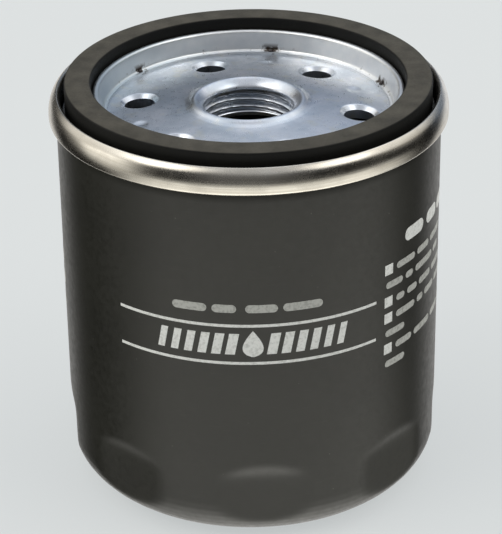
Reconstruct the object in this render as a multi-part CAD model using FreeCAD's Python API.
# Spin-on oil filter for a small engine, as the separate pieces that it is assembled from.
# Millimetres. The can's closed end stands on z = 0 and the Z axis is the filter's own axis. The gasket end,
# which screws on to the engine's stud, is at the top.

import FreeCAD, Part
import math
import os

# ---- driving dimensions -------------------------------------------------------------------------

overall_height = 84.7
cut_margin = 1.0            # how far a cutting tool runs past what it cuts

# can, drawn from painted steel sheet
can_radius = 38.0
can_sheet = 0.4
can_corner = 8.7            # outside radius where the wall turns into the closed end
end_recess_radius = 16.6    # shallow dish pressed inwards in the closed end
end_recess_depth = 0.8
end_recess_run = 1.2        # how far out the dish's rim slopes
end_recess_bend = 1.0
flat_count = 8              # wrench flats round the closed end
flat_first_angle = -87.0    # degrees from +X
flat_depth = 1.05
flat_top = 15.5             # where each flat's sloping shoulder starts
shoulder_rise = 2.5         # height over which the shoulder comes back out to the can's radius
flat_bend = 1.6
flat_cutter_reach = 5.0
lower_wall_top = 30.0       # the flats are cut in the can below this height

# rolled double seam between the can and the seaming lid
lid_sheet = 0.45
seam_radius = 39.45
seam_top = 82.5
seam_bottom = 77.3
seam_gap = 0.05             # play between the folded layers
fold_clearance = 0.45       # keeps the compound out of the folds' inner corners
hook_fold_share = 0.47      # the can's fold radius, as a share of its hook's offset
can_hook_end = 78.6
lid_hook_end = 80.6

# seaming lid's gasket channel, and the foot that is welded to the base plate
lip_radius = 30.45          # middle line of the channel's inner wall
lip_top = 82.4
hem_radius = 29.6            # middle line of the folded-back layer, at its top
foot_corner = 28.95
foot_edge = 28.0
foot_bend = 0.8
hem_bend = 0.36
channel_bend = 0.5
chuck_bend = 0.8
seam_inner_bend = 0.6
seam_outer_bend = 1.0
seam_lower_bend = 0.45

gasket_inner = 31.0
gasket_outer = 36.2
gasket_edge = 0.4

# base plate, with the stud's thread in its hub
plate_radius = 36.8
plate_thickness = 2.8
plate_top = 77.8
cone_start = 26.0           # the plate is flat outside this radius and rises inside it
hub_foot = 12.8
hub_foot_top = 79.0
hub_top = 80.0
hub_rim = 10.9              # outer edge of the hub's flat top
hub_outer = 12.3
hub_bottom = 72.2
thread_minor = 8.75         # 3/4-16 UNF
thread_major = 9.525
thread_pitch = 25.4 / 16
thread_crest = 8.80
thread_base_share = 0.44    # half widths of the ridge, as shares of the pitch
thread_crest_share = 0.125
thread_root_overlap = 0.1
thread_start_angle = 25.0
thread_entry = 9.6
thread_top = 78.2
thread_bottom = 72.7
land_height = 0.6           # plain land at each end of the thread
hub_fillet = 1.0
inlet_count = 6
inlet_radius = 3.0
inlet_circle = 22.0
inlet_first_angle = -9.5
inlet_chamfer = 0.85
weld_count = 6
weld_first_angle = 20.5
weld_circle = 28.6
weld_radius = 0.55
dimple_circle = 22.5
dimple_depth = 0.25
dimple_radius = 1.5

# anti-drain-back valve, of moulded rubber
collar_outer = 14.8
collar_lip = 11.6
collar_grip = 2.9           # how far the collar reaches up round the hub
flap_clearance = 0.3
flap_outer = 28.3
flap_seal_inner = 26.3
flap_seat_gap = 0.05
flap_root_drop = 3.35       # depth of the skirt's underside below the plate, at its root
flap_root_thickness = 1.2
flap_edge_thickness = 0.65
flap_edge_drop = 1.45
flap_edge_width = 1.3
flap_lip_width = 0.6
flap_lip_depth = 0.45

# filter element
cap_sheet = 0.4
cap_radius = 32.5
cap_rim = 3.2
cap_bend = 0.6
cap_collar_depth = 2.9
cap_fit = 0.1               # play between an end cap and the piece in its middle
lower_cap_bottom = 12.0
upper_cap_top = 69.6
potting_depth = 1.25
potting_radius = 31.6
potting_gap = 0.05
media_inner = 13.5          # middle line of the pleats' inner folds
media_outer = 31.0          # middle line of the pleats' outer folds
media_thickness = 0.5
pleat_count = 44
inner_fold = 0.45
outer_fold = 0.9
clip_sheet = 0.3
clip_gap = 0.05
clip_leg = 4.5
clip_inset = 0.5            # how far the clip stops short of each end of the paper
tube_outer = 13.0
tube_wall = 0.5
tube_top = 68.7
tube_hole_radius = 1.6
tube_holes_round = 8
tube_hole_rows = 8
tube_hole_margin = 4.0

# bypass valve, in the element's closed-end cap
valve_bore = 6.5
valve_flange = 12.3
valve_flange_height = 1.6
valve_neck = 9.0
valve_neck_length = 1.5
seat_outer = 7.5
seat_height = 0.6
post_count = 4
post_inner = 10.8
post_outer = 12.1
post_width = 3.0
post_top = 29.8
retainer_radius = 12.2
retainer_thickness = 1.4
retainer_boss_radius = 3.2
retainer_boss_height = 2.0
retainer_window_radius = 2.2
retainer_window_circle = 7.2
poppet_radius = 8.6
poppet_thickness = 1.4
seal_thickness = 0.6
seal_inner = 5.9
stem_radius = 1.5
stem_clearance = 0.06
stem_top = 35.0
pilot_clearance = 0.3
pilot_height = 1.0
seal_play = 0.1
bypass_wire = 1.2
bypass_spring_radius = 6.3
bypass_spring_turns = 5.2

arcs_per_turn = 6           # in either spring

# spring that holds the element up against the base plate
support_wire = 1.6
support_radius = 14.0
support_turns = 3.2
cup_sheet = 0.5
cup_inner = 10.2
cup_outer = 16.45
cup_rim = 1.85
cup_bend = 0.7

# ---- values worked out from them ----------------------------------------------------------------

plate_slope = (hub_foot_top - plate_top) / (cone_start - hub_foot)
end_inside = can_sheet + end_recess_depth
lower_cap_inside = lower_cap_bottom + cap_sheet
upper_cap_inside = upper_cap_top - cap_sheet
media_bottom = lower_cap_inside + potting_depth
media_top = upper_cap_inside - potting_depth
channel_floor = plate_top + lid_sheet
valve_flange_top = lower_cap_inside + valve_flange_height
seat_top = valve_flange_top + seat_height
poppet_bottom = seat_top + seal_thickness
poppet_top = poppet_bottom + poppet_thickness
cup_top = lower_cap_bottom


# ---- shape helpers ------------------------------------------------------------------------------

def point(r, z):
    """A point of a profile in the XZ plane."""
    return FreeCAD.Vector(r, 0, z)


def spin(edges):
    """The solid that a closed profile sweeps round the Z axis."""
    wire = Part.Wire(Part.__sortEdges__(edges))
    return Part.Face(wire).revolve(FreeCAD.Vector(), FreeCAD.Vector(0, 0, 1), 360)


def polyline(points):
    """Straight edges through profile points."""
    return [Part.makeLine(point(*a), point(*b)) for a, b in zip(points, points[1:])]


def turned(points):
    """A solid of revolution with a straight-sided profile."""
    return spin(polyline(points + points[:1]))


def ring(inner, outer, bottom, top):
    """A plain ring, or a disc when inner is zero."""
    return turned([(inner, bottom), (outer, bottom), (outer, top), (inner, top)])


def around(shape, angle):
    """A copy of a shape, turned about the Z axis by an angle in degrees."""
    copy = shape.copy()
    copy.rotate(FreeCAD.Vector(), FreeCAD.Vector(0, 0, 1), angle)
    return copy


def repeated(shape, count, first_angle):
    """Equally spaced copies of a shape round the Z axis, as one compound."""
    step = 360.0 / count
    return Part.makeCompound([around(shape, first_angle + k * step) for k in range(count)])


def sheet_side(path, bends, side):
    """One face of a bent sheet: the edges `side` mm to the left of its middle line.

    path holds the middle line's corners and bends the middle line's radius at each inner corner.
    """
    corners = [point(*p) for p in path]
    ways = [(b - a).normalize() for a, b in zip(corners, corners[1:])]
    lefts = [FreeCAD.Vector(-w.z, 0, w.x) for w in ways]
    edges = []
    here = corners[0] + lefts[0] * side
    for k, bend in enumerate(bends):
        corner = corners[k + 1]
        turn = math.atan2(ways[k].x * ways[k + 1].z - ways[k].z * ways[k + 1].x, ways[k].dot(ways[k + 1]))
        sign = math.copysign(1.0, turn)
        setback = bend * math.tan(abs(turn) / 2)
        start = corner - ways[k] * setback
        centre = start + lefts[k] * (sign * bend)
        outward = (corner - centre).normalize()
        arc_start = start + lefts[k] * side
        arc_middle = centre + outward * (bend - sign * side)
        arc_end = corner + ways[k + 1] * setback + lefts[k + 1] * side
        edges.append(Part.makeLine(here, arc_start))
        edges.append(Part.Arc(arc_start, arc_middle, arc_end).toShape())
        here = arc_end
    last = corners[-1] + lefts[-1] * side
    edges.append(Part.makeLine(here, last))
    return edges, corners[0] + lefts[0] * side, last


def bent_sheet(path, bends, thickness):
    """A round part pressed from sheet, given its middle line."""
    left, left_start, left_end = sheet_side(path, bends, thickness / 2)
    right, right_start, right_end = sheet_side(path, bends, -thickness / 2)
    caps = [Part.makeLine(left_start, right_start), Part.makeLine(left_end, right_end)]
    return spin(left + right + caps)


def swept(section, path, bottom):
    """The solid that a closed section sweeps along a coiled path, keeping upright to the Z axis."""
    sweep = Part.BRepOffsetAPI.MakePipeShell(path)
    sweep.setBiNormalMode(FreeCAD.Vector(0, 0, 1))
    sweep.add(section)
    sweep.build()
    sweep.makeSolid()
    solid = sweep.shape()
    solid.translate(FreeCAD.Vector(0, 0, bottom))
    return solid


def coil_path(radius, height, turns):
    """A helix as a chain of arcs, which meshes more cleanly than a true helix does."""
    count = round(turns * arcs_per_turn)

    def on_helix(share):
        angle = 2 * math.pi * turns * share
        return FreeCAD.Vector(radius * math.cos(angle), radius * math.sin(angle), height * share)

    arcs = [Part.Arc(on_helix(k / count), on_helix((k + 0.5) / count), on_helix((k + 1) / count)).toShape()
            for k in range(count)]
    return Part.Wire(arcs)


def coil(mean_radius, wire_radius, bottom, top, turns):
    """A helical compression spring that stands between the planes bottom and top."""
    height = top - bottom - 2 * wire_radius
    rise = math.atan2(height / turns, 2 * math.pi * mean_radius)
    along = FreeCAD.Vector(0, math.cos(rise), math.sin(rise))
    section = Part.Wire([Part.makeCircle(wire_radius, FreeCAD.Vector(mean_radius, 0, 0), along)])
    return swept(section, coil_path(mean_radius, height, turns), bottom + wire_radius)


# ---- can, lid and gasket ------------------------------------------------------------------------

def can_core(side):
    """The closed end and lower wall as a solid block: side is -1 for the outer face and +1 for the inner."""
    half = can_sheet / 2
    wall = can_radius - half
    path = [(0, half + end_recess_depth), (end_recess_radius, half + end_recess_depth),
            (end_recess_radius + end_recess_run, half), (wall, half), (wall, lower_wall_top)]
    edges, first, last = sheet_side(path, [end_recess_bend, end_recess_bend, can_corner - half],
                                    side * half)
    middle = point(0, lower_wall_top)
    edges += [Part.makeLine(last, middle), Part.makeLine(middle, first)]
    block = spin(edges)
    flat = can_radius - flat_depth - half
    slope = flat_depth / shoulder_rise
    reach = can_radius + flat_cutter_reach
    shoulder = [(flat, -flat_cutter_reach), (flat, flat_top), (reach, flat_top + (reach - flat) / slope)]
    face, low, high = sheet_side(shoulder, [flat_bend], side * half)
    beyond = point(reach + cut_margin, -flat_cutter_reach)
    over = point(reach + cut_margin, high.z)
    face += [Part.makeLine(high, over), Part.makeLine(over, beyond), Part.makeLine(beyond, low)]
    section = Part.Face(Part.Wire(Part.__sortEdges__(face)))
    cutter = section.extrude(FreeCAD.Vector(0, can_radius, 0))
    cutter.translate(FreeCAD.Vector(0, -can_radius / 2, 0))
    for k in range(flat_count):
        block = block.cut(around(cutter, flat_first_angle + k * 360.0 / flat_count))
    return block


def can():
    half = can_sheet / 2
    wall = can_radius - half
    seam_fold = seam_top - lid_sheet - seam_gap - half
    hook = seam_radius - lid_sheet - seam_gap - half
    fold = (hook - wall) * hook_fold_share
    lower = can_core(-1).cut(can_core(1))
    upper = bent_sheet([(wall, lower_wall_top), (wall, seam_fold), (hook, seam_fold), (hook, can_hook_end)],
                       [fold, fold], can_sheet)
    return lower.fuse(upper).removeSplitter()


def seaming_lid():
    half = lid_sheet / 2
    floor = plate_top + half
    top = seam_top - half
    lip = lip_top - half
    chuck_wall = can_radius - can_sheet - seam_gap - half
    outer_wall = seam_radius - half
    hook = can_radius + seam_gap + half
    path = [(foot_edge, floor), (foot_corner, floor), (hem_radius, lip), (lip_radius, lip),
            (lip_radius, floor), (chuck_wall, floor), (chuck_wall, top), (outer_wall, top),
            (outer_wall, seam_bottom + half), (hook, seam_bottom + half), (hook, lid_hook_end)]
    bends = [foot_bend, hem_bend, hem_bend, channel_bend, chuck_bend, seam_inner_bend, seam_outer_bend,
             seam_lower_bend, seam_lower_bend]
    return bent_sheet(path, bends, lid_sheet)


def gasket():
    body = ring(gasket_inner, gasket_outer, channel_floor, overall_height)
    rims = [edge for edge in body.Edges if isinstance(edge.Curve, Part.Circle)]
    return body.makeFillet(gasket_edge, rims)


def seam_sealing_compound():
    """The two threads of sealing compound left inside the rolled seam."""
    fold_inside = seam_top - lid_sheet - seam_gap - can_sheet - fold_clearance
    lid_hook = can_radius + seam_gap
    can_hook = lid_hook + lid_sheet + seam_gap
    upper = ring(lid_hook, lid_hook + lid_sheet, lid_hook_end, fold_inside)
    lower = ring(can_hook, can_hook + can_sheet, seam_bottom + lid_sheet + fold_clearance, can_hook_end)
    return Part.makeCompound([upper, lower])


# ---- base plate ---------------------------------------------------------------------------------

def cone_height(r):
    """Height of the base plate's upper face at radius r."""
    return plate_top + max(0.0, cone_start - r) * plate_slope


def plate_blank():
    """The plate and its hub, bored to the thread's major diameter between two plain lands."""
    under = plate_top - plate_thickness
    hub_under = hub_foot_top - plate_thickness
    bottom_chamfer = thread_bottom - hub_bottom
    outline = [(plate_radius, under), (plate_radius, plate_top), (cone_start, plate_top),
               (hub_foot, hub_foot_top), (hub_rim, hub_top), (thread_entry, hub_top),
               (thread_minor, thread_top), (thread_minor, thread_top - land_height),
               (thread_major, thread_top - land_height), (thread_major, thread_bottom + land_height),
               (thread_minor, thread_bottom + land_height), (thread_minor, thread_bottom),
               (thread_minor + bottom_chamfer, hub_bottom), (hub_outer, hub_bottom),
               (hub_outer, hub_under - hub_fillet), (hub_outer + hub_fillet, hub_under), (cone_start, under)]
    return turned(outline)


def thread_ridge():
    """The thread's helical ridge, run a little way into both lands."""
    root = thread_major + thread_root_overlap
    overrun = land_height / 2
    bottom = thread_bottom + overrun
    height = thread_top - overrun - bottom
    base_half = thread_pitch * thread_base_share
    crest_half = thread_pitch * thread_crest_share
    profile = [(root, -base_half), (thread_crest, -crest_half),
               (thread_crest, crest_half), (root, base_half)]
    section = Part.Wire(Part.__sortEdges__(polyline(profile + profile[:1])))
    path = Part.Wire(Part.makeHelix(thread_pitch, height, thread_major))
    return around(swept(section, path, bottom), thread_start_angle)


def inlet_cutter():
    """One inlet hole with its chamfered mouth."""
    mouth = cone_height(inlet_circle) + inlet_radius * plate_slope
    wide = inlet_radius + inlet_chamfer
    under = plate_top - plate_thickness - cut_margin
    outline = [(0, under), (inlet_radius, under), (inlet_radius, mouth - inlet_chamfer),
               (wide + cut_margin, mouth + cut_margin), (0, mouth + cut_margin)]
    hole = turned(outline)
    hole.translate(FreeCAD.Vector(inlet_circle, 0, 0))
    return hole


def dimple_cutter():
    """One shallow round dimple between two inlet holes."""
    ball_radius = (dimple_radius ** 2 + dimple_depth ** 2) / (2 * dimple_depth)
    middle = cone_height(dimple_circle) - dimple_depth + ball_radius
    return Part.makeSphere(ball_radius, FreeCAD.Vector(dimple_circle, 0, middle))


def base_plate():
    plate = plate_blank().fuse(thread_ridge())
    plate = plate.cut(repeated(inlet_cutter(), inlet_count, inlet_first_angle))
    return plate.cut(repeated(dimple_cutter(), weld_count, weld_first_angle))


def weld_spots():
    """Weld nuggets standing in the corner between the lid's foot and its folded wall."""
    nugget = Part.makeSphere(weld_radius, FreeCAD.Vector(weld_circle, 0, channel_floor))
    nugget = nugget.cut(ring(0, can_radius, plate_top - weld_radius, channel_floor))
    nugget = nugget.cut(seaming_lid())
    inside_wall = min(nugget.Solids, key=lambda solid: solid.CenterOfMass.x)
    return repeated(inside_wall, weld_count, weld_first_angle)


# ---- anti-drain-back valve ----------------------------------------------------------------------

def anti_drain_collar():
    """The valve's thick inner part, gripped between the hub and the element's upper cap."""
    top = hub_bottom + collar_grip
    return turned([(collar_lip, upper_cap_top), (collar_outer, upper_cap_top), (collar_outer, top),
                   (hub_outer, top), (hub_outer, hub_bottom), (collar_lip, hub_bottom)])


def anti_drain_flap():
    """The valve's thin skirt, which closes the inlet holes from inside."""
    inner = collar_outer + flap_clearance
    seal = plate_top - plate_thickness - flap_seat_gap
    return turned([(inner, seal - flap_root_drop), (flap_outer - flap_edge_width, seal - flap_edge_drop),
                   (flap_outer, seal - flap_edge_thickness), (flap_outer, seal), (flap_seal_inner, seal),
                   (flap_seal_inner - flap_lip_width, seal - flap_lip_depth),
                   (inner, seal - flap_root_drop + flap_root_thickness)])


# ---- filter element -----------------------------------------------------------------------------

def upper_end_cap():
    middle = upper_cap_top - cap_sheet / 2
    collar = tube_outer - tube_wall - cap_fit - cap_sheet / 2
    rim = cap_radius - cap_sheet / 2
    path = [(collar, middle - cap_collar_depth), (collar, middle), (rim, middle), (rim, middle - cap_rim)]
    return bent_sheet(path, [cap_bend, cap_bend], cap_sheet)


def lower_end_cap():
    middle = lower_cap_bottom + cap_sheet / 2
    rim = cap_radius - cap_sheet / 2
    return bent_sheet([(valve_neck + cap_fit, middle), (rim, middle), (rim, middle + cap_rim)],
                      [cap_bend], cap_sheet)


def potting(bottom, top):
    """The set adhesive that holds the media in an end cap."""
    return ring(tube_outer + potting_gap, potting_radius, bottom, top)


def fold_centre(k):
    """Centre of the k-th fold; even folds are outer ones and odd folds are inner ones."""
    angle = math.pi * k / pleat_count
    radius = media_outer - outer_fold if k % 2 == 0 else media_inner + inner_fold
    return FreeCAD.Vector(radius * math.cos(angle), radius * math.sin(angle), media_bottom)


def media_face(side):
    """One face of the pleated paper as a closed wire, `side` mm outside its middle line."""
    edges = []
    starts = []
    ends = []
    tips = []
    for k in range(2 * pleat_count):
        here = fold_centre(k)
        outward = FreeCAD.Vector(here.x, here.y, 0).normalize()
        bulge = 1.0 if k % 2 == 0 else -1.0
        radius = outer_fold + side if k % 2 == 0 else inner_fold - side
        points = []
        for neighbour in (k - 1, k + 1):
            across = fold_centre(neighbour) - here
            reach = across.Length
            along = across.normalize()
            lean = math.acos((outer_fold + inner_fold) / reach)
            turn = lean * bulge * (1.0 if neighbour < k else -1.0)
            spoke = FreeCAD.Vector(along.x * math.cos(turn) - along.y * math.sin(turn),
                                   along.x * math.sin(turn) + along.y * math.cos(turn), 0)
            points.append(here + spoke * radius)
        starts.append(points[0])
        ends.append(points[1])
        tips.append(here + outward * (bulge * radius))
    for k in range(2 * pleat_count):
        edges.append(Part.Arc(starts[k], tips[k], ends[k]).toShape())
        edges.append(Part.makeLine(ends[k], starts[(k + 1) % (2 * pleat_count)]))
    return Part.Wire(edges)


def pleated_media():
    up = FreeCAD.Vector(0, 0, media_top - media_bottom)
    outer = Part.Face(media_face(media_thickness / 2)).extrude(up)
    inner = Part.Face(media_face(-media_thickness / 2)).extrude(up)
    return outer.cut(inner)


def media_seam_clip():
    """A folded metal strip that joins the paper's two ends, crimped over one outer fold."""
    inside = media_outer + media_thickness / 2 + clip_gap
    half_gap = outer_fold + media_thickness / 2 + clip_gap
    root = inside - clip_leg
    height = media_top - media_bottom - 2 * clip_inset
    outside = Part.makeBox(clip_leg + clip_sheet, 2 * (half_gap + clip_sheet), height,
                           FreeCAD.Vector(root, -half_gap - clip_sheet, media_bottom + clip_inset))
    hollow = Part.makeBox(clip_leg, 2 * half_gap, height + 2 * cut_margin,
                          FreeCAD.Vector(root, -half_gap, media_bottom + clip_inset - cut_margin))
    return outside.cut(hollow)


def center_tube():
    tube = ring(tube_outer - tube_wall, tube_outer, lower_cap_inside, tube_top)
    bottom = media_bottom + tube_hole_margin
    pitch = (media_top - tube_hole_margin - bottom) / (tube_hole_rows - 1)
    drills = []
    for row in range(tube_hole_rows):
        drill = Part.makeCylinder(tube_hole_radius, 2 * (tube_outer + cut_margin),
                                  FreeCAD.Vector(-tube_outer - cut_margin, 0, bottom + row * pitch),
                                  FreeCAD.Vector(1, 0, 0))
        stagger = (row % 2) * 180.0 / tube_holes_round
        for k in range(tube_holes_round // 2):
            drills.append(around(drill, stagger + k * 360.0 / tube_holes_round))
    return tube.cut(Part.makeCompound(drills))


# ---- bypass valve -------------------------------------------------------------------------------

def bypass_housing():
    base = turned([(valve_bore, lower_cap_inside - valve_neck_length),
                   (valve_neck, lower_cap_inside - valve_neck_length), (valve_neck, lower_cap_inside),
                   (valve_flange, lower_cap_inside), (valve_flange, valve_flange_top),
                   (seat_outer, valve_flange_top), (seat_outer, seat_top), (valve_bore, seat_top)])
    post = Part.makeBox(post_outer - post_inner, post_width, post_top - valve_flange_top,
                        FreeCAD.Vector(post_inner, -post_width / 2, valve_flange_top))
    posts = [around(post, k * 360.0 / post_count) for k in range(post_count)]
    return base.multiFuse(posts).removeSplitter()


def bypass_spring_retainer():
    """The cage's top plate, with the stem's guide in its middle and windows for the oil."""
    guide = stem_radius + stem_clearance
    under = post_top
    plate = turned([(guide, under), (retainer_radius, under), (retainer_radius, under + retainer_thickness),
                    (retainer_boss_radius, under + retainer_thickness),
                    (retainer_boss_radius, under + retainer_thickness + retainer_boss_height),
                    (guide, under + retainer_thickness + retainer_boss_height)])
    window = Part.makeCylinder(retainer_window_radius, retainer_thickness + 2 * cut_margin,
                               FreeCAD.Vector(retainer_window_circle, 0, under - cut_margin))
    return plate.cut(repeated(window, post_count, 180.0 / post_count))


def bypass_poppet():
    """Disc, spring pilot and guide stem, moulded in one piece."""
    pilot = bypass_spring_radius - bypass_wire / 2 - pilot_clearance
    pilot_top = poppet_top + pilot_height
    boss = seal_inner - seal_play
    boss_bottom = poppet_bottom - seal_thickness / 2
    return turned([(0, boss_bottom), (boss, boss_bottom), (boss, poppet_bottom),
                   (poppet_radius, poppet_bottom), (poppet_radius, poppet_top), (pilot, poppet_top),
                   (pilot, pilot_top), (stem_radius, pilot_top), (stem_radius, stem_top), (0, stem_top)])


def bypass_poppet_seal():
    return ring(seal_inner, poppet_radius, seat_top, poppet_bottom)


def bypass_spring():
    return coil(bypass_spring_radius, bypass_wire / 2, poppet_top, post_top, bypass_spring_turns)


# ---- element support ----------------------------------------------------------------------------

def element_support_spring():
    return coil(support_radius, support_wire / 2, end_inside, cup_top - cup_sheet, support_turns)


def spring_seat_cup():
    """The pressed washer that keeps the support spring centred under the element."""
    middle = cup_top - cup_sheet / 2
    rim = cup_outer - cup_sheet / 2
    return bent_sheet([(cup_inner, middle), (rim, middle), (rim, middle - cup_rim)], [cup_bend], cup_sheet)


# ---- build --------------------------------------------------------------------------------------

parts = {
    "can": can(),
    "seaming_lid": seaming_lid(),
    "seam_sealing_compound": seam_sealing_compound(),
    "gasket": gasket(),
    "base_plate": base_plate(),
    "weld_spots": weld_spots(),
    "anti_drain_collar": anti_drain_collar(),
    "anti_drain_flap": anti_drain_flap(),
    "upper_end_cap": upper_end_cap(),
    "upper_potting": potting(media_top, upper_cap_inside),
    "lower_end_cap": lower_end_cap(),
    "lower_potting": potting(lower_cap_inside, media_bottom),
    "pleated_media": pleated_media(),
    "media_seam_clip": media_seam_clip(),
    "center_tube": center_tube(),
    "bypass_housing": bypass_housing(),
    "bypass_spring_retainer": bypass_spring_retainer(),
    "bypass_poppet": bypass_poppet(),
    "bypass_poppet_seal": bypass_poppet_seal(),
    "bypass_spring": bypass_spring(),
    "element_support_spring": element_support_spring(),
    "spring_seat_cup": spring_seat_cup(),
}

os.makedirs("parts", exist_ok=True)
for name, shape in parts.items():
    box = shape.BoundBox
    print(f"{name:24s} solids {len(shape.Solids)} valid {shape.isValid()} volume {shape.Volume:9.1f} "
          f"r {box.XMax:6.2f} z {box.ZMin:6.2f} {box.ZMax:6.2f}")
    shape.exportStep(f"parts/{name}.step")
